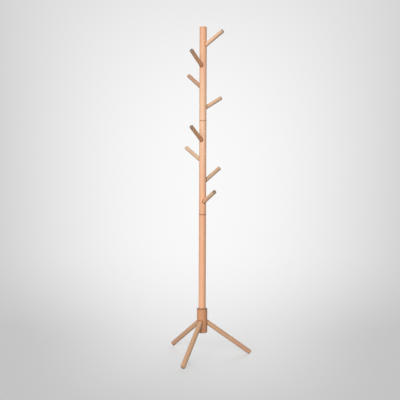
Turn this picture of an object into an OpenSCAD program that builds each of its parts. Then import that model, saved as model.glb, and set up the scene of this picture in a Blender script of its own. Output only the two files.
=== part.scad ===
// Standing coat rack: a round wooden pole screwed together from three sections, eight
// straight pegs screwed into its two upper sections, and a hub with three splayed legs.
// Millimetres, +Z up. The origin lies on the floor, below the pole's axis.

/* [Pole] */
// Diameter of the pole
pole_d = 38; // [34:0.5:45]
// Length of the upper section
upper_len = 489; // [480:1:600]
// Length of the middle section
middle_len = 496; // [480:1:600]
// Length of the lower section, which has no pegs
lower_len = 507; // [300:1:650]
// Rounding of the edge at both ends of every section
pole_edge = 1.5; // [0.5:0.1:3]

/* [Pegs] */
// Diameter of a peg
peg_d = 21; // [16:0.5:22]
// Length of a peg, with the part inside its socket
peg_len = 126; // [80:1:160]
// Distance from the pole's axis to the bottom of a peg's socket
peg_seat = 12; // [11:0.5:13]
// Rounding of the edge at both ends of a peg
peg_edge = 2; // [0.5:0.1:5]
// Heights above a section's lower end at which its pegs' axes meet the pole's axis
peg_heights = [384, 278, 167, 60]; // [50:1:430]
// Angles of a section's pegs above level, in the same order
peg_rises = [34.5, 34, 34.5, 28.5]; // [25:0.5:40]
// Turns of a section's pegs about the pole, counted from its first peg
peg_turns = [0, -96, -201, -297]; // [-360:1:360]
// Turn of the upper section's first peg from +X
upper_turn = -26; // [-180:1:180]
// Turn of the middle section's first peg from +X
middle_turn = -122; // [-180:1:180]

/* [Hub] */
// Diameter of the hub
hub_d = 56; // [50:0.5:65]
// Height of the hub
hub_h = 130; // [115:1:160]
// Rounding of the hub's top and bottom edges
hub_edge = 2.5; // [0.5:0.1:5]
// Distance from the hub's top down to the point where the legs' axes meet
leg_drop = 56; // [52:1:64]

/* [Legs] */
// Diameter of a leg
leg_d = 26; // [20:0.5:27]
// Length of a leg, with the part inside its socket
leg_len = 308; // [250:1:400]
// Angle of the legs below level
leg_slope = 36.1; // [32:0.1:45]
// Rounding of the edge at both ends of a leg
leg_edge = 2; // [0.5:0.1:4]
// Turn of the right leg from +X
leg_turn = 8.5; // [-60:0.5:60]
// Height of the corner that is planed off a leg's foot to stand flat
foot_cut = 4; // [3:0.1:6]

/* [Foot pads] */
// Thickness of a foot pad
pad_t = 3; // [1.5:0.1:6]
// Width of bare wood left around a foot pad
pad_inset = 1.5; // [1:0.1:2]

/* [Peg bolts and inserts] */
// Thread diameter of a peg's hanger bolt
peg_bolt_d = 6; // [5:0.5:8]
// Length of the bolt's wood-screw end, in the peg
peg_bolt_wood = 28; // [20:1:45]
// Outer diameter of a peg's threaded insert
peg_insert_d = 10; // [9:0.5:12]
// Length of a peg's threaded insert
peg_insert_len = 12; // [8:0.5:13]

/* [Section studs and inserts] */
// Thread diameter of a section's stud
stud_d = 8; // [6:0.5:9]
// Length of the stud's wood-screw end, in the section above the joint
stud_wood = 32; // [25:1:36]
// Outer diameter of the threaded insert below the joint
stud_insert_d = 14; // [12:0.5:16]
// Length of the threaded insert below the joint
stud_insert_len = 22; // [15:0.5:24]

/* [Leg bolts and inserts] */
// Thread diameter of a leg's hanger bolt
leg_bolt_d = 8; // [6:0.5:8.5]
// Length of the bolt's wood-screw end, in the leg
leg_bolt_wood = 36; // [25:1:60]
// Outer diameter of a leg's threaded insert
leg_insert_d = 12; // [11:0.5:12.5]
// Length of a leg's threaded insert
leg_insert_len = 10; // [8:0.5:11]
// Thinnest wood left between the holes for the legs' inserts, near the hub's axis
core_wall = 2.5; // [2:0.1:3.5]

/* [Clearances] */
// Radial clearance of a peg or leg in its socket
socket_gap = 0.1; // [0.05:0.05:0.3]
// Radial clearance of a bolt or an insert in its hole
screw_gap = 0.05; // [0.02:0.01:0.1]
// Clearance past the end of a bolt or an insert in its hole
end_gap = 1; // [0.5:0.1:1.5]

/* [Hidden] */
$fn = 64;

pole_colour = [0.86, 0.66, 0.49];
peg_colour = [0.76, 0.57, 0.43];
base_colour = [0.82, 0.60, 0.43];
steel_colour = [0.75, 0.76, 0.77];
brass_colour = [0.80, 0.66, 0.35];
pad_colour = [0.35, 0.34, 0.33];

// The legs stand evenly round the hub; the pegs follow one pattern in each of two sections
leg_count = 3;
leg_angle = 360 / leg_count;
peg_count = len(peg_heights);

// How far a hole or a cut starts outside the piece that it is made in
cut = 1;

// Distance from the hub's axis to the inner ends of the legs' insert holes. The holes lean
// on the planes midway between the legs, and stay half of core_wall clear of them
core_r = leg_insert_d / 2 + screw_gap;
core_lean = core_r * norm([sin(leg_slope) * sin(leg_angle / 2), cos(leg_angle / 2)]);
leg_core = (core_wall / 2 + core_lean) / (cos(leg_slope) * sin(leg_angle / 2));
// Distance from the hub's axis to the bottoms of the legs' sockets
leg_seat = leg_core + end_gap + leg_insert_len;

// Heights, built up from the floor: foot, legs' crossing point, hub and pole
leg_reach = leg_seat + leg_len;
foot_z = pad_t + leg_d / 2 * cos(leg_slope) - foot_cut;
cross_z = foot_z + leg_reach * sin(leg_slope);
hub_top = cross_z + leg_drop;
lower_top = hub_top + lower_len;
middle_top = lower_top + middle_len;
foot_r = leg_reach * cos(leg_slope);

// The flat planed on a foot: part of the ellipse in which the level plane cuts the leg
flat_mid = (cross_z - pad_t) / tan(leg_slope);
flat_end = foot_r - (foot_z - pad_t) * tan(leg_slope);

// A pad's outline: the same ellipse, smaller by pad_inset, up to the chord that ends it
pad_major = leg_d / 2 / sin(leg_slope) - pad_inset;
pad_minor = leg_d / 2 - pad_inset;
pad_end = flat_end - pad_inset;
pad_sweep = acos((flat_mid - pad_end) / pad_major);
pad_steps = 16;

// A round rod along +Z from the origin, with both ends rounded
module rod(d, len, edge) {
    rotate_extrude() {
        square([d / 2 - edge, len]);
        translate([0, edge]) square([d / 2, len - 2 * edge]);
        for (y = [edge, len - edge]) translate([d / 2 - edge, y]) circle(edge);
    }
}

// A hanger bolt along +Z: a machine thread below z = 0 and a pointed wood screw above it,
// with a shallow neck between them
module hanger_bolt(d, machine, wood) {
    r = d / 2;
    chamfer = d * 0.1;
    neck = d * 0.25;
    tip = d * 1.2;
    rotate_extrude() polygon([
        [0, -machine], [r - chamfer, -machine], [r, chamfer - machine], [r, -neck],
        [r - chamfer, 0], [r, neck], [r, wood - tip], [0, wood]
    ]);
}

// A threaded insert that ends flush at z = 0 and reaches down from there, bored through
module insert(d, len, bolt_d) {
    chamfer = 0.5;
    bore_r = bolt_d / 2 + screw_gap;
    rotate_extrude() polygon([
        [bore_r, -len], [d / 2 - chamfer, -len], [d / 2, chamfer - len], [d / 2, 0], [bore_r, 0]
    ]);
}

// The hole for a hanger bolt's wood screw, up from z = 0
module screw_hole(d, wood) {
    translate([0, 0, -cut]) cylinder(h = cut + wood + end_gap, d = d + 2 * screw_gap);
}

// The hole for a threaded insert, down from z = 0
module insert_hole(d, len) {
    translate([0, 0, -len - end_gap]) cylinder(h = len + end_gap + cut, d = d + 2 * screw_gap);
}

// The flat-bottomed socket for a peg's or a leg's root, up from z = 0, as deep as it needs
module socket(d, depth) {
    cylinder(h = depth, d = d + 2 * socket_gap);
}

// Places its children at the bottom of peg n's socket, with +Z outwards along the peg
module at_peg(n) {
    upper = n <= peg_count;
    i = (n - 1) % peg_count;
    translate([0, 0, (upper ? middle_top : lower_top) + peg_heights[i]])
        rotate([0, 90 - peg_rises[i], (upper ? upper_turn : middle_turn) + peg_turns[i]])
            translate([0, 0, peg_seat])
                children();
}

// Places its children at the bottom of leg i's socket, with +Z outwards and down the leg
module at_leg(i) {
    translate([0, 0, cross_z])
        rotate([0, 90 + leg_slope, leg_turn + i * leg_angle])
            translate([0, 0, leg_seat])
                children();
}

// A plain pole section that stands at height z, drilled for the stud in its lower end
module drilled_section(z, len) {
    translate([0, 0, z]) difference() {
        rod(pole_d, len, pole_edge);
        screw_hole(stud_d, stud_wood);
    }
}

// The sockets and insert holes of the pegs from n = first on, in one section
module peg_drilling(first) {
    for (n = [first : first + peg_count - 1]) at_peg(n) {
        socket(peg_d, pole_d);
        insert_hole(peg_insert_d, peg_insert_len);
    }
}

// The hole for the insert in the top, at height z, of whatever a section stands on
module joint_insert_hole(z) {
    translate([0, 0, z]) insert_hole(stud_insert_d, stud_insert_len);
}

module upper_pole_section() {
    color(pole_colour) difference() {
        drilled_section(middle_top, upper_len);
        peg_drilling(1);
    }
}

module middle_pole_section() {
    color(pole_colour) difference() {
        drilled_section(lower_top, middle_len);
        peg_drilling(1 + peg_count);
        joint_insert_hole(middle_top);
    }
}

module lower_pole_section() {
    color(pole_colour) difference() {
        drilled_section(hub_top, lower_len);
        joint_insert_hole(lower_top);
    }
}

module peg(n) {
    color(peg_colour) at_peg(n) difference() {
        rod(peg_d, peg_len, peg_edge);
        screw_hole(peg_bolt_d, peg_bolt_wood);
    }
}

module hub() {
    color(base_colour) difference() {
        translate([0, 0, hub_top - hub_h]) rod(hub_d, hub_h, hub_edge);
        joint_insert_hole(hub_top);
        for (i = [0 : leg_count - 1]) at_leg(i) {
            socket(leg_d, hub_d);
            insert_hole(leg_insert_d, leg_insert_len);
        }
    }
}

// A leg, with the lower corner of its foot planed level where the pad sits. The legs count
// from the right one, anticlockwise seen from above
module leg(i) {
    side = 2 * (foot_r + leg_d);
    color(base_colour) difference() {
        at_leg(i) difference() {
            rod(leg_d, leg_len, leg_edge);
            screw_hole(leg_bolt_d, leg_bolt_wood);
        }
        translate([-side / 2, -side / 2, pad_t - leg_d]) cube([side, side, leg_d]);
    }
}

// A pad covers the planed flat, less a margin: an arc of the ellipse, closed by a chord
module foot_pads() {
    color(pad_colour) for (i = [0 : leg_count - 1]) rotate(leg_turn + i * leg_angle)
        linear_extrude(pad_t) polygon([
            for (k = [0 : pad_steps])
                let (a = pad_sweep * (2 * k / pad_steps - 1))
                    [flat_mid - pad_major * cos(a), pad_minor * sin(a)]
        ]);
}

module peg_bolts() {
    color(steel_colour) for (n = [1 : 2 * peg_count]) at_peg(n)
        hanger_bolt(peg_bolt_d, peg_insert_len - end_gap, peg_bolt_wood);
}

module peg_inserts() {
    color(brass_colour) for (n = [1 : 2 * peg_count]) at_peg(n)
        insert(peg_insert_d, peg_insert_len, peg_bolt_d);
}

module section_studs() {
    color(steel_colour) for (z = [hub_top, lower_top, middle_top]) translate([0, 0, z])
        hanger_bolt(stud_d, stud_insert_len - end_gap, stud_wood);
}

module section_inserts() {
    color(brass_colour) for (z = [hub_top, lower_top, middle_top]) translate([0, 0, z])
        insert(stud_insert_d, stud_insert_len, stud_d);
}

module leg_bolts() {
    color(steel_colour) for (i = [0 : leg_count - 1]) at_leg(i)
        hanger_bolt(leg_bolt_d, leg_insert_len - end_gap, leg_bolt_wood);
}

module leg_inserts() {
    color(brass_colour) for (i = [0 : leg_count - 1]) at_leg(i)
        insert(leg_insert_d, leg_insert_len, leg_bolt_d);
}

upper_pole_section();
middle_pole_section();
lower_pole_section();
for (n = [1 : 2 * peg_count])
    peg(n);
hub();
leg(1);  // left_rear_leg
leg(2);  // front_leg
leg(0);  // right_leg
foot_pads();
peg_bolts();
peg_inserts();
section_studs();
section_inserts();
leg_bolts();
leg_inserts();
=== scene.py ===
"""The looks of a standing coat rack: lacquered beech rods on a plain pale sweep, in soft studio light.

Everything is in metres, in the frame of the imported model. Each CAD piece keeps its mesh and gets a
solid texture laid along its own rod: growth rings, rays, fibres, end grain and worn edges.
"""

import math
import random
from collections import namedtuple

import bmesh
import bpy
import numpy as np
from mathutils import Matrix, Vector


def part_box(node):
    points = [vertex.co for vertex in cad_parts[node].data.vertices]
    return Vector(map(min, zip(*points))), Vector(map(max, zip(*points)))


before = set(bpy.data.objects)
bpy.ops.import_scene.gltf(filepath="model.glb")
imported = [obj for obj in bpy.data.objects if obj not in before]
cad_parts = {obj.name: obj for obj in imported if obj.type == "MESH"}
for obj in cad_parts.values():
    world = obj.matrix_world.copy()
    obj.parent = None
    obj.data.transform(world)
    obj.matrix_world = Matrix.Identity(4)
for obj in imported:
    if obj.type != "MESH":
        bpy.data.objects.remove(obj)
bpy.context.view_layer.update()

MM = 0.001

# Camera: in front of the rack, a little above its middle. Angles are in degrees, the lens and the
# sensor in millimetres.
CAMERA_DISTANCE = 3.726
CAMERA_HEIGHT = 1.079
CAMERA_PITCH_DOWN = 3.65
CAMERA_YAW = 0.21
CAMERA_ROLL = 0.21
CAMERA_LENS = 63.1
CAMERA_SENSOR = 36.0
CAMERA_REACH = 50.0

# Light: a wide soft key from the front, a little to the left, a weaker one behind, and the air
# of the room. Strengths are what a white surface that faces the light sends back. The room's two
# strengths blend where a direction's slope lies between minus and plus ROOM_BLEND.
KEY_FROM = (-0.28, -0.88, 0.37)
KEY_STRENGTH = 0.93
BACK_FROM = (0.28, 0.88, 0.35)
BACK_STRENGTH = 0.70
SOFTNESS = 45.0
ROOM_ABOVE = 0.29
ROOM_BELOW = 0.28
ROOM_BLEND = 0.3

# Tones of beech, as linear colours.
CREAM = (0.88, 0.57, 0.36)
HONEY = (0.81, 0.44, 0.25)
AMBER = (0.80, 0.39, 0.18)
SAND = (0.68, 0.49, 0.31)
TAN = (0.61, 0.38, 0.22)
BROWN = (0.53, 0.31, 0.19)
CHESTNUT = (0.58, 0.28, 0.14)

# The tone of each wooden piece at its foot and at its head. A peg's or leg's foot is the end in the
# pole or hub.
Tone = namedtuple("Tone", "foot head")
TONES = {
    "upper_pole_section": Tone(CREAM, HONEY),
    "middle_pole_section": Tone(HONEY, CREAM),
    "lower_pole_section": Tone(HONEY, HONEY),
    "hub": Tone(CHESTNUT, CHESTNUT),
    "left_rear_leg": Tone(TAN, BROWN),
    "front_leg": Tone(TAN, TAN),
    "right_leg": Tone(TAN, BROWN),
    "peg_1": Tone(CREAM, SAND),
    "peg_2": Tone(AMBER, TAN),
    "peg_3": Tone(BROWN, BROWN),
    "peg_4": Tone(CREAM, SAND),
    "peg_5": Tone(AMBER, TAN),
    "peg_6": Tone(SAND, SAND),
    "peg_7": Tone(SAND, TAN),
    "peg_8": Tone(HONEY, SAND),
}

# The plank: the pith runs beside the rod and leans a little along it. Each rod is cut from its own
# place, so that no two show the same figure.
PLANK_PLACE = (0.2, 3.0)
PITH_DISTANCE = 75 * MM
PITH_LEAN = (0.008, 0.022)
RING_WIDTH = 2.8 * MM
RING_WAVER = 5 * MM
RAY_WIDTH = 0.55 * MM
RAY_DEPTH = 22 * MM
RAY_HEIGHT = 3.6 * MM

# How wide across the rod and how long along it the features of each texture are.
WAVER_SIZE = (28 * MM, 140 * MM)
FIBRE_SIZE = (0.45 * MM, 14 * MM)
MOTTLE_SIZE = (22 * MM, 120 * MM)
WARMTH_SIZE = (40 * MM, 90 * MM)
VESSEL_SIZE = (0.35 * MM, 0.35 * MM)
WEAR_SIZE = (6 * MM, 6 * MM)
HAND_FEEL_SIZE = (14 * MM, 35 * MM)

# The noise from which each texture starts to show, and from which it shows in full. The lacquer's
# roughness changes over FIBRE_RANGE.
WARMTH_SHOWS = (0.35, 0.65)
MOTTLE_SHOWS = (0.35, 0.68)
FIBRES_SHOW = (0.35, 0.72)
VESSELS_SHOW = (0.52, 0.64)
WEAR_SHOWS = (0.40, 0.62)
FIBRE_RANGE = (0.2, 0.8)

# The late wood of a ring, in shares of its width: where it starts and is full, and, going back from
# the ring's end, where it is gone and still full. WEAK_YEAR is its strength in the weakest ring.
SUMMER = (0.30, 0.92)
RING_END = (1.0, 0.94)
WEAK_YEAR = 0.3

# A ray's spindle, from its rim to its dark middle, in cells of the pattern, and the draw from which a
# cell starts to have a spindle, and has it in full.
SPINDLE = (0.42, 0.16)
RAY_DRAW = (0.45, 0.75)

# End grain starts to show, and shows in full, where a face looks this squarely along the rod.
END_FACING = (0.55, 0.95)

# What lies over a rod's tone: a multiplier, and how much of it shows.
Layer = namedtuple("Layer", "tint share")
WARMTH = Layer((1.0, 0.95, 0.98), 1.0)
MOTTLE = Layer((0.80, 0.66, 0.55), 0.08)
LATE_WOOD = Layer((0.66, 0.52, 0.44), 0.28)
FIBRES = Layer((0.70, 0.58, 0.50), 0.20)
RAYS = Layer((0.60, 0.44, 0.36), 0.42)

# End faces: the colour of the wood there and of the vessels in it. Bare wood at worn edges.
END_COLOUR = (0.20, 0.16, 0.13)
VESSEL_COLOUR = (0.11, 0.09, 0.08)
VESSEL_SHARE = 0.5
WORN_COLOUR = (0.90, 0.72, 0.55)
WORN_SHARE = 0.35

# Darkening at the rims and round the joints, as multipliers, and how far it reaches: up the rim from
# an end, over the surface round a joint, and along a peg or leg from its host. At the rims it is grime
# together with painted shade on the rounded rims and in the seams, round a joint it is a painted
# contact shadow, and near a host it is painted shade, warmed as by light thrown back from the host.
GRIME_AND_PAINTED_SHADE = (0.50, 0.33, 0.22)
ROOT_PAINTED_SHADE = (0.86, 0.72, 0.58)
SEAM_GRIME_AND_SHADE = {"upper_pole_section": 0.55, "middle_pole_section": 0.75, "lower_pole_section": 0.95}
RIM_STARTS = 3 * MM
RIM_FULL = 1 * MM
RIM_DARK_REACH = 5.5 * MM
RIM_DARK_FULL = 0.4 * MM
WEAR_REACH = 3.5 * MM
WEAR_FULL = 0.8 * MM
RING_OUT = 3.5 * MM
RING_IN = 1.0 * MM
ROOT_REACH = 9 * MM
ROOT_FULL = 1 * MM

# Relief: how high each feature stands, or how deep it lies.
FIBRE_RELIEF = 0.030 * MM
RAY_RELIEF = -0.035 * MM
LATE_RELIEF = 0.020 * MM
HAND_RELIEF = 0.10 * MM
VESSEL_RELIEF = -0.08 * MM

# Satin lacquer. Its roughness follows the fibres, and the end grain adds some.
LACQUER_ROUGHNESS = (0.50, 0.62)
END_ROUGHNESS = 0.18
LACQUER = {"IOR": 1.5, "Specular IOR Level": 0.35, "Coat Weight": 0.08, "Coat Roughness": 0.35}

# The sweep's shape: a flat floor, whose inner rings keep its smoothed faces level near the rack, a
# round bend and a straight wall.
FLOOR_RINGS = (0.0, 0.6, 1.5)
SWEEP_FLAT = 4.0
SWEEP_BEND = 1.6
SWEEP_TOP = 4.5
SWEEP_SIDES = 96
BEND_STEPS = 12

# The sweep's tones, as values of a picture: the floor in front, the pool of light and the top of
# the backdrop, along the middle, and the even studio beyond what the main view shows.
FRONT_TONE = 0.797
POOL_TONE = 0.979
TOP_TONE = 0.924
STUDIO_TONE = 0.85

# The pool of light grows from POOL_FRONT backwards, and dims up the backdrop between two heights.
POOL_FRONT = -0.9
POOL_DEPTH = 1.5
POOL_HEIGHT = 0.8
TOP_HEIGHT = 3.05

# The pool's half width at the rack, how much wider it gets for each metre behind it, and how far in
# front that starts.
POOL_WIDTH = 1.07
POOL_SPREAD = 0.285
SPREAD_FRONT = -1.0

# How much darker the paper is at the pool's half width: in front of the pool, what the pool's light
# adds to that, the most it reaches, and the share of it that is left at the top of the backdrop.
FRONT_FADE = 0.030
FADE_GROWTH = 0.175
SIDE_FADE = 0.142
TOP_FADE = 0.62

# In front the sides darken along a softer curve: its power, and how fast it takes over there.
SOFT_POWER = 1.2
SOFT_GAIN = 2.2

# Where the studio's tone takes over: at the sides, between two numbers of half widths, and in front,
# over this many metres from the pool's front on.
STUDIO_SIDES = (1.15, 3.0)
STUDIO_FRONT = 2.2

# Within the first of these distances the paper is partly lit, and NEAR_GLOW is the share that glows
# by itself. From the second on all of it glows.
LIT_REACH = (0.8, 2.2)
NEAR_GLOW = 0.6

# The curve by which a picture's values, from 0 to 1, stand for linear light.
CURVE_OFFSET = 0.055
CURVE_POWER = 2.4

Rod = namedtuple("Rod", "foot axis length radius")


def camera():
    """The camera at the viewing angle of the photograph."""
    data = bpy.data.cameras.new("camera")
    data.lens = CAMERA_LENS
    data.sensor_width = CAMERA_SENSOR
    data.clip_end = CAMERA_REACH
    cam = bpy.data.objects.new("camera", data)
    turn = Matrix.Rotation(math.radians(CAMERA_YAW), 4, "Z")
    tilt = Matrix.Rotation(math.radians(90.0 - CAMERA_PITCH_DOWN), 4, "X")
    roll = Matrix.Rotation(math.radians(CAMERA_ROLL), 4, "Z")
    place = Matrix.Translation((0.0, -CAMERA_DISTANCE, CAMERA_HEIGHT))
    cam.matrix_world = place @ turn @ tilt @ roll
    bpy.context.scene.collection.objects.link(cam)
    bpy.context.scene.camera = cam


def rgba(colour, gain=1.0):
    """A colour as a socket takes it."""
    return tuple(gain * channel for channel in colour) + (1.0,)


class Nodes:
    """Builds the node tree of one material or world."""

    def __init__(self, owner):
        owner.use_nodes = True
        self.tree = owner.node_tree
        self.tree.nodes.clear()

    def add(self, kind, inputs=None, **settings):
        """A new node. Its inputs are fed by name or by number."""
        node = self.tree.nodes.new(kind)
        for name, value in settings.items():
            setattr(node, name, value)
        for key, value in (inputs or {}).items():
            self.feed(node.inputs[key], value)
        return node

    def feed(self, socket, value):
        """Links a socket to another node's output, or sets its own value."""
        if isinstance(value, bpy.types.NodeSocket):
            self.tree.links.new(value, socket)
        else:
            socket.default_value = value

    def math(self, operation, a, b=0.0, c=0.0, clamp=False):
        inputs = {0: a, 1: b, 2: c}
        return self.add("ShaderNodeMath", inputs, operation=operation, use_clamp=clamp).outputs[0]

    def times(self, a, b):
        return self.math("MULTIPLY", a, b)

    def plus(self, a, b):
        return self.math("ADD", a, b)

    def blend(self, factor, a, b):
        """The number a where the factor is 0, and b where it is 1."""
        return self.math("MULTIPLY_ADD", factor, self.math("SUBTRACT", b, a), a)

    def step(self, value, low, high, to_low=0.0, to_high=1.0):
        """A smooth step of value between low and high."""
        inputs = {"Value": value, "From Min": low, "From Max": high, "To Min": to_low, "To Max": to_high}
        return self.add("ShaderNodeMapRange", inputs, interpolation_type="SMOOTHSTEP").outputs[0]

    def vector(self, operation, a, b=(0.0, 0.0, 0.0)):
        """A vector, or a number if the operation is one that gives a number."""
        node = self.add("ShaderNodeVectorMath", {0: a, 1: b}, operation=operation)
        return node.outputs["Value" if operation in ("LENGTH", "DOT_PRODUCT") else "Vector"]

    def join(self, x, y, z=0.0):
        return self.add("ShaderNodeCombineXYZ", {0: x, 1: y, 2: z}).outputs[0]

    def split(self, vector):
        return self.add("ShaderNodeSeparateXYZ", {0: vector}).outputs

    def distance(self, x, y):
        """How far the point (x, y) lies from the middle."""
        return self.vector("LENGTH", self.join(x, y))

    def place(self):
        """The point's place in the frame."""
        return self.add("ShaderNodeTexCoord").outputs["Object"]

    def noise(self, vector, detail=2.0, roughness=0.5):
        inputs = {"Vector": vector, "Scale": 1.0, "Detail": detail, "Roughness": roughness}
        return self.add("ShaderNodeTexNoise", inputs).outputs[0]

    def mix(self, factor, a, b, kind="MIX"):
        """A mix of two colours, which are the node's sockets 6 and 7."""
        inputs = {0: factor, 6: a, 7: b}
        return self.add("ShaderNodeMix", inputs, data_type="RGBA", blend_type=kind).outputs[2]

    def tinted(self, shade, mask, tint):
        """The shade, multiplied by a tint where the mask is 1."""
        return self.mix(mask, shade, rgba(tint), "MULTIPLY")

    def grey(self, value):
        return self.add("ShaderNodeCombineColor", {0: value, 1: value, 2: value}).outputs[0]

    def finish(self, surface):
        """Ends a material in a principled shader with these inputs."""
        shader = self.add("ShaderNodeBsdfPrincipled", surface).outputs[0]
        self.add("ShaderNodeOutputMaterial", {"Surface": shader})


def upright_rod(node):
    """A pole section or the hub: a rod on the rack's own axis."""
    low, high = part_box(node)
    return Rod(Vector((0.0, 0.0, low.z)), Vector((0.0, 0.0, 1.0)), high.z - low.z, high.y)


def leaning_rod(node):
    """A peg or leg, from its mesh: the axis is what its faces turn round, and runs outwards."""
    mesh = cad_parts[node].data
    faces = len(mesh.polygons)
    areas, normals, middles = np.zeros(faces), np.zeros(3 * faces), np.zeros(3 * faces)
    mesh.polygons.foreach_get("area", areas)
    mesh.polygons.foreach_get("normal", normals)
    mesh.polygons.foreach_get("center", middles)
    normals, middles = normals.reshape(-1, 3), middles.reshape(-1, 3)
    axis = np.linalg.eigh((normals * areas[:, None]).T @ normals)[1][:, 0]
    nearly_square = 0.2
    side = areas * (np.abs(normals @ axis) < nearly_square)
    centre = (middles * side[:, None]).sum(axis=0) / side.sum()
    if axis[:2] @ centre[:2] < 0:
        axis = -axis
    away = np.array([v.co for v in mesh.vertices]) - centre
    along = away @ axis
    radius = np.linalg.norm(away - np.outer(along, axis), axis=1).max()
    return Rod(Vector(centre + axis * along.min()), Vector(axis), float(np.ptp(along)), float(radius))


def rod_of(node):
    """The rod that a wooden piece is."""
    upright = node == "hub" or node.endswith("_pole_section")
    return upright_rod(node) if upright else leaning_rod(node)


def rod_space(nodes, rod):
    """Coordinates along the rod: x and y across it from its axis, z from its inner end."""
    turn = rod.axis.to_track_quat("Z", "Y").to_matrix().transposed()
    inputs = {"Vector": nodes.place(), "Location": -(turn @ rod.foot), "Rotation": turn.to_euler("XYZ")}
    return nodes.add("ShaderNodeMapping", inputs).outputs[0]


def joint_ring(nodes, rod):
    """The mask of a painted contact shadow: a thin ring round the place where this rod enters the
    surface, 1 at the joint, 0 away from it.
    """
    away = nodes.vector("SUBTRACT", nodes.place(), tuple(rod.foot))
    from_axis = nodes.vector("LENGTH", nodes.vector("CROSS_PRODUCT", away, tuple(rod.axis)))
    outside = nodes.math("GREATER_THAN", nodes.vector("DOT_PRODUCT", away, tuple(rod.axis)), 0.0)
    return nodes.times(outside, nodes.step(from_axis, rod.radius + RING_OUT, rod.radius + RING_IN))


class Beech:
    """The wood of one rod, as its surface shows it. Each feature is a number from 0 to 1."""

    def __init__(self, nodes, rod, chance):
        self.nodes = nodes
        self.rod = rod
        inside = rod_space(nodes, rod)
        cut_from = Vector(chance.uniform(*PLANK_PLACE) for _ in range(3))
        self.plank = nodes.vector("ADD", inside, cut_from)
        self.x, self.y, self.z = nodes.split(inside)
        self.grow(chance)
        self.cut()

    def texture(self, size, **settings):
        """Noise whose features have this width across the rod and this length along it."""
        across, along = size
        scale = (1 / across, 1 / across, 1 / along)
        return self.nodes.noise(self.nodes.vector("MULTIPLY", self.plank, scale), **settings)

    def grow(self, chance):
        """Late wood in rings round the pith, rays that stand out from it, and fibres."""
        nodes = self.nodes
        bearing = chance.uniform(0, 2 * math.pi)
        lean_x, lean_y = (chance.uniform(*PITH_LEAN) * chance.choice((-1, 1)) for _ in range(2))
        waver = nodes.math("MULTIPLY_ADD", self.texture(WAVER_SIZE), RING_WAVER, -RING_WAVER / 2)
        leaned_x = nodes.math("MULTIPLY_ADD", self.z, lean_x, self.x)
        leaned_y = nodes.math("MULTIPLY_ADD", self.z, lean_y, self.y)
        east = nodes.plus(leaned_x, PITH_DISTANCE * math.cos(bearing))
        north = nodes.plus(leaned_y, PITH_DISTANCE * math.sin(bearing))
        from_pith = nodes.distance(east, north)

        # A ring darkens through its season and stops short at its end, in some years less.
        age = nodes.math("DIVIDE", nodes.plus(from_pith, waver), RING_WIDTH)
        season = nodes.math("FRACT", age)
        year = {"W": nodes.math("FLOOR", age)}
        vigour = nodes.add("ShaderNodeTexWhiteNoise", year, noise_dimensions="1D").outputs[0]
        summer = nodes.times(nodes.step(season, *SUMMER), nodes.step(season, *RING_END))
        strength = nodes.math("MULTIPLY_ADD", vigour, 1.0 - WEAK_YEAR, WEAK_YEAR)
        self.late_wood = nodes.times(summer, strength)

        # Rays: thin dark spindles where the rod's side cuts them, each standing along the grain.
        around = nodes.times(nodes.math("ARCTAN2", north, east), PITH_DISTANCE / RAY_WIDTH)
        outwards = nodes.math("DIVIDE", from_pith, RAY_DEPTH)
        along = nodes.math("DIVIDE", self.z, RAY_HEIGHT)
        cells = {"Vector": nodes.join(around, outwards, along), "Scale": 1.0}
        cell = nodes.add("ShaderNodeTexVoronoi", cells)
        chosen = nodes.add("ShaderNodeSeparateColor", {0: cell.outputs["Color"]}).outputs[0]
        spindle = nodes.step(cell.outputs["Distance"], *SPINDLE)
        self.rays = nodes.times(spindle, nodes.step(chosen, *RAY_DRAW))

        self.fibres = self.texture(FIBRE_SIZE, detail=3.0, roughness=0.6)

    def cut(self):
        """The end faces, which face along the rod, with their vessels, and the rims round them."""
        nodes, rod = self.nodes, self.rod
        normal = nodes.add("ShaderNodeNewGeometry").outputs["Normal"]
        facing = nodes.math("ABSOLUTE", nodes.vector("DOT_PRODUCT", normal, tuple(rod.axis)))
        self.end_grain = nodes.step(facing, *END_FACING)
        self.vessels = nodes.step(self.texture(VESSEL_SIZE, detail=1.0), *VESSELS_SHOW)
        from_axis = nodes.distance(self.x, self.y)
        self.rim = nodes.step(from_axis, rod.radius - RIM_STARTS, rod.radius - RIM_FULL)
        self.to_end = nodes.math("MINIMUM", self.z, nodes.math("SUBTRACT", rod.length, self.z))

    def colour(self, tone):
        """The rod's tone, with each darker thing of the grain over it."""
        nodes = self.nodes
        along = nodes.math("DIVIDE", self.z, self.rod.length, clamp=True)
        shade = nodes.mix(along, rgba(tone.foot), rgba(tone.head))
        warmth = nodes.step(self.texture(WARMTH_SIZE, detail=1.0), *WARMTH_SHOWS)
        mottle = nodes.step(self.texture(MOTTLE_SIZE, detail=1.0), *MOTTLE_SHOWS)
        fibres = nodes.step(self.fibres, *FIBRES_SHOW)
        masks = (warmth, mottle, self.late_wood, fibres, self.rays)
        for mask, layer in zip(masks, (WARMTH, MOTTLE, LATE_WOOD, FIBRES, RAYS)):
            shade = nodes.tinted(shade, nodes.times(mask, layer.share), layer.tint)
        return shade

    def rims(self, shade, dark_rims):
        """Worn patches on the rounded rims, and grime together with painted shade in them."""
        nodes = self.nodes
        near_end = nodes.times(self.rim, nodes.step(self.to_end, WEAR_REACH, WEAR_FULL))
        worn = nodes.times(near_end, nodes.step(self.texture(WEAR_SIZE), *WEAR_SHOWS))
        shade = nodes.mix(nodes.times(worn, WORN_SHARE), shade, rgba(WORN_COLOUR))
        grime_and_shade = nodes.times(self.rim, nodes.step(self.to_end, RIM_DARK_REACH, RIM_DARK_FULL))
        return nodes.tinted(shade, nodes.times(grime_and_shade, dark_rims), GRIME_AND_PAINTED_SHADE)

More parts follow.
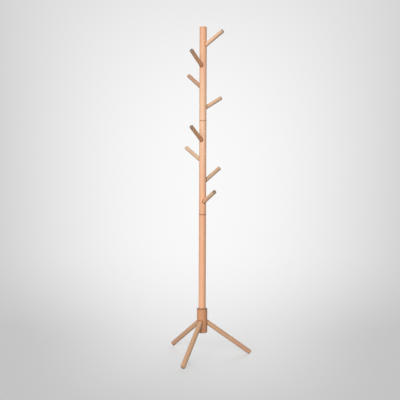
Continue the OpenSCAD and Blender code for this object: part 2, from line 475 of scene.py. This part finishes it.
    def joints(self, shade, guests, host_radius):
        """Painted contact shadow round each rod that enters this one, and painted shade, warmed as by
        light thrown back from the host, on this one where it enters its host.
        """
        nodes = self.nodes
        # Each guest's ring is a painted contact shadow.
        for guest in guests:
            shade = nodes.tinted(shade, joint_ring(nodes, guest), GRIME_AND_PAINTED_SHADE)
        # Painted shade near the host, warmed as by light thrown back from it.
        if host_radius:
            x, y, _ = nodes.split(nodes.place())
            root_painted_shade = nodes.step(nodes.distance(x, y), host_radius + ROOT_REACH, host_radius + ROOT_FULL)
            shade = nodes.tinted(shade, root_painted_shade, ROOT_PAINTED_SHADE)
        return shade

    def ends(self, shade, dark_ends):
        """The darker end grain."""
        nodes = self.nodes
        vessels = nodes.times(self.vessels, VESSEL_SHARE)
        end_shade = nodes.mix(vessels, rgba(END_COLOUR), rgba(VESSEL_COLOUR))
        return nodes.mix(nodes.times(self.end_grain, dark_ends), shade, end_shade)

    def roughness(self):
        """The lacquer's roughness: satin, duller on the end grain."""
        nodes = self.nodes
        satin = nodes.step(self.fibres, *FIBRE_RANGE, *LACQUER_ROUGHNESS)
        return nodes.math("ADD", satin, nodes.times(self.end_grain, END_ROUGHNESS), clamp=True)

    def bump(self):
        """The relief of the grain, of the sanding by hand, and of the vessels in the end faces."""
        nodes = self.nodes
        height = nodes.times(self.fibres, FIBRE_RELIEF)
        height = nodes.plus(height, nodes.times(self.rays, RAY_RELIEF))
        height = nodes.plus(height, nodes.times(self.late_wood, LATE_RELIEF))
        height = nodes.plus(height, nodes.times(self.texture(HAND_FEEL_SIZE, detail=0.0), HAND_RELIEF))
        pits = nodes.times(self.end_grain, self.vessels)
        height = nodes.plus(height, nodes.times(pits, VESSEL_RELIEF))
        return nodes.add("ShaderNodeBump", {"Height": height, "Distance": 1.0}).outputs[0]


def wood(name, rod, tone, dark_ends=0.8, dark_rims=0.0, guests=(), host_radius=None):
    """Lacquered beech, cut along the rod from its own place in the plank. The end grain, and the grime
    together with painted shade at the rims, show as much as dark_ends and dark_rims say. Guests are the
    rods that enter this one, each ringed by a painted contact shadow, and host_radius is the radius of
    the upright rod that it enters itself, near which painted shade lies on this rod.
    """
    material = bpy.data.materials.new(name)
    nodes = Nodes(material)
    beech = Beech(nodes, rod, random.Random(name))
    shade = beech.colour(tone)
    shade = beech.rims(shade, dark_rims)
    shade = beech.joints(shade, guests, host_radius)
    shade = beech.ends(shade, dark_ends)
    surface = {"Base Color": shade, "Roughness": beech.roughness(), "Normal": beech.bump()}
    nodes.finish({**surface, **LACQUER})
    return material


def speckled(name, colour, roughness, grain, depth, metallic=0.0):
    """Rubber or metal: a fine grain in colour, roughness and relief, and broader dark patches."""
    material = bpy.data.materials.new(name)
    nodes = Nodes(material)
    patch = 12 * grain
    dark, bright, patch_dark, patch_share = 0.82, 1.08, 0.75, 0.4
    rougher = 0.06
    fine = nodes.noise(nodes.vector("MULTIPLY", nodes.place(), (1 / grain,) * 3), detail=3.0)
    broad = nodes.noise(nodes.vector("MULTIPLY", nodes.place(), (1 / patch,) * 3), detail=1.0)
    shade = nodes.mix(nodes.step(fine, 0.3, 0.7), rgba(colour, dark), rgba(colour, bright))
    shade = nodes.mix(nodes.step(broad, 0.4, 0.7, 0.0, patch_share), shade, rgba(colour, patch_dark))
    relief = {"Height": nodes.times(fine, depth), "Distance": 1.0}
    nodes.finish({
        "Base Color": shade,
        "Metallic": metallic,
        "Roughness": nodes.step(fine, 0.3, 0.7, roughness - rougher, roughness + rougher),
        "Normal": nodes.add("ShaderNodeBump", relief).outputs[0],
    })
    return material


def finish_node(node, material):
    """Puts a material in every slot of a CAD node."""
    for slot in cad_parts[node].material_slots:
        slot.material = material


def dress_wood():
    """Every wooden piece gets its own beech."""
    rods = {node: rod_of(node) for node in TONES}
    pegs = [rod for node, rod in rods.items() if node.startswith("peg_")]
    legs = [rod for node, rod in rods.items() if node.endswith("_leg")]
    pole_radius = rods["upper_pole_section"].radius
    hub_radius = rods["hub"].radius
    # The rims take grime and painted shade, a painted contact shadow rings each guest, and painted shade
    # lies on a peg or leg near its host.
    for node, rod in rods.items():
        if node.endswith("_pole_section"):
            guests = [peg for peg in pegs if 0.0 < peg.foot.z - rod.foot.z < rod.length]
            settings = {"dark_ends": 0.6, "dark_rims": SEAM_GRIME_AND_SHADE[node], "guests": guests}
        elif node == "hub":
            settings = {"dark_ends": 0.9, "dark_rims": 0.8, "guests": legs}
        elif node.endswith("_leg"):
            settings = {"dark_ends": 0.15, "dark_rims": 0.15, "host_radius": hub_radius}
        else:
            settings = {"dark_rims": 0.7, "host_radius": pole_radius}
        finish_node(node, wood(node + "_beech", rod, TONES[node], **settings))


def dress_hardware():
    """The pads are rubber, the bolts and studs zinc-plated steel, and the inserts brass."""
    finish_node("foot_pads", speckled("pad_rubber", (0.10, 0.10, 0.10), 0.82, 0.6 * MM, 0.05 * MM))
    steel = speckled("zinc_steel", (0.60, 0.61, 0.63), 0.38, 1.5 * MM, 0.01 * MM, metallic=1.0)
    brass = speckled("insert_brass", (0.72, 0.53, 0.26), 0.30, 1.5 * MM, 0.01 * MM, metallic=1.0)
    for node in ("peg_bolts", "section_studs", "leg_bolts"):
        finish_node(node, steel)
    for node in ("peg_inserts", "section_inserts", "leg_inserts"):
        finish_node(node, brass)


def lamp(name, towards, strength):
    """A distant lamp as wide as a soft box, shining from the direction towards."""
    data = bpy.data.lights.new(name, "SUN")
    data.energy = math.pi * strength
    data.angle = math.radians(SOFTNESS)
    light = bpy.data.objects.new(name, data)
    light.rotation_euler = Vector(towards).to_track_quat("Z", "Y").to_euler()
    bpy.context.scene.collection.objects.link(light)


def room():
    """The light of the room, the same from every side and dimmer from below."""
    world = bpy.data.worlds.new("room")
    bpy.context.scene.world = world
    nodes = Nodes(world)
    direction = nodes.add("ShaderNodeTexCoord").outputs["Generated"]
    slope = nodes.split(direction)[2]
    strength = nodes.step(slope, -ROOM_BLEND, ROOM_BLEND, ROOM_BELOW, ROOM_ABOVE)
    white = rgba((1.0, 1.0, 1.0))
    air = nodes.add("ShaderNodeBackground", {"Color": white, "Strength": strength}).outputs[0]
    nodes.add("ShaderNodeOutputWorld", {"Surface": air})


def sweep():
    """The floor that curves up into the backdrop, all the way round, as in a photographer's cove."""
    mesh = bpy.data.meshes.new("sweep")
    shape = bmesh.new()
    profile = [(radius, 0.0) for radius in (*FLOOR_RINGS, SWEEP_FLAT)]
    for step in range(1, BEND_STEPS + 1):
        angle = math.radians(90 * step / BEND_STEPS)
        out = SWEEP_FLAT + SWEEP_BEND * math.sin(angle)
        profile.append((out, SWEEP_BEND - SWEEP_BEND * math.cos(angle)))
    profile.append((SWEEP_FLAT + SWEEP_BEND, SWEEP_TOP))
    verts = [shape.verts.new((radius, 0.0, z)) for radius, z in profile]
    edges = [shape.edges.new(pair) for pair in zip(verts, verts[1:])]
    turn = {"axis": (0, 0, 1), "cent": (0, 0, 0), "angle": 2 * math.pi, "steps": SWEEP_SIDES}
    bmesh.ops.spin(shape, geom=verts + edges, **turn)
    bmesh.ops.remove_doubles(shape, verts=shape.verts, dist=1e-5)
    bmesh.ops.recalc_face_normals(shape, faces=shape.faces)
    shape.to_mesh(mesh)
    shape.free()
    for face in mesh.polygons:
        face.use_smooth = True
    floor = bpy.data.objects.new("sweep", mesh)
    bpy.context.scene.collection.objects.link(floor)
    floor.visible_diffuse = False
    floor.visible_shadow = False
    return floor


def sweep_tone(nodes):
    """The sweep's tone as the value of a picture: a painted pool of light that brightens the paper
    behind the rack and fades at its sides, up the backdrop and in front, in an even studio.
    """
    x, y, z = nodes.split(nodes.place())

    # Along the middle: from the front to the back of the floor, then up the backdrop.
    depth = nodes.math("DIVIDE", nodes.math("SUBTRACT", y, POOL_FRONT), POOL_DEPTH)
    dimness = nodes.math("EXPONENT", nodes.times(nodes.math("MAXIMUM", depth, 0.0), -1.0))
    back = nodes.math("SUBTRACT", 1.0, dimness)
    height = nodes.math("SUBTRACT", z, POOL_HEIGHT)
    rise = nodes.math("DIVIDE", height, TOP_HEIGHT - POOL_HEIGHT, clamp=True)
    rise = nodes.times(rise, rise)
    middle = nodes.blend(back, FRONT_TONE, POOL_TONE)
    middle = nodes.math("MULTIPLY_ADD", rise, TOP_TONE - POOL_TONE, middle)

    # Towards the sides: along a parabola behind the rack, and in a softer curve in front of it.
    spread = nodes.math("MAXIMUM", y, SPREAD_FRONT)
    half_width = nodes.math("MULTIPLY_ADD", spread, POOL_SPREAD, POOL_WIDTH)
    sideways = nodes.math("DIVIDE", nodes.math("ABSOLUTE", x), half_width)
    aside = nodes.math("MINIMUM", sideways, STUDIO_SIDES[0])
    soft = nodes.step(nodes.math("POWER", aside, SOFT_POWER), 0.0, 1.0)
    near = nodes.math("MULTIPLY", nodes.math("SUBTRACT", 1.0, back), SOFT_GAIN, clamp=True)
    falloff = nodes.blend(near, nodes.times(aside, aside), soft)
    fade = nodes.math("MINIMUM", nodes.math("MULTIPLY_ADD", back, FADE_GROWTH, FRONT_FADE), SIDE_FADE)
    fade = nodes.times(fade, nodes.blend(rise, 1.0, TOP_FADE))
    value = nodes.math("SUBTRACT", middle, nodes.times(falloff, fade))

    # Beyond the main view's sides and front the paper eases to the studio's tone.
    past_sides = nodes.step(sideways, *STUDIO_SIDES)
    past_front = nodes.step(y, POOL_FRONT, POOL_FRONT - STUDIO_FRONT)
    return nodes.blend(nodes.math("MAXIMUM", past_sides, past_front), value, STUDIO_TONE)


def sweep_paint(floor):
    """Pale grey paper: partly lit near the rack, so that it takes a faint shadow, and further off a
    plain glow that shows the painted pool of light.
    """
    material = bpy.data.materials.new("pale_paper")
    floor.data.materials.append(material)
    nodes = Nodes(material)
    share = nodes.math("DIVIDE", nodes.plus(sweep_tone(nodes), CURVE_OFFSET), 1.0 + CURVE_OFFSET)
    light = nodes.math("POWER", share, CURVE_POWER)
    reflected = nodes.math("DIVIDE", light, floor_light())
    paper = nodes.add("ShaderNodeBsdfDiffuse", {"Color": nodes.grey(reflected)}).outputs[0]
    glow = nodes.add("ShaderNodeEmission", {"Color": nodes.grey(light), "Strength": 1.0}).outputs[0]
    x, y, _ = nodes.split(nodes.place())
    far = nodes.step(nodes.distance(x, y), *LIT_REACH, NEAR_GLOW, 1.0)
    shader = nodes.add("ShaderNodeMixShader", {0: far, 1: paper, 2: glow}).outputs[0]
    nodes.add("ShaderNodeOutputMaterial", {"Surface": shader})


def floor_light():
    """What a white floor near the rack sends back: the lamps at their slant, and the room."""
    lamps = ((KEY_FROM, KEY_STRENGTH), (BACK_FROM, BACK_STRENGTH))
    return ROOM_ABOVE + sum(strength * Vector(towards).normalized().z for towards, strength in lamps)


camera()
dress_wood()
dress_hardware()
lamp("key", KEY_FROM, KEY_STRENGTH)
lamp("back", BACK_FROM, BACK_STRENGTH)
room()
sweep_paint(sweep())

scene = bpy.context.scene
scene.view_settings.view_transform = "Standard"
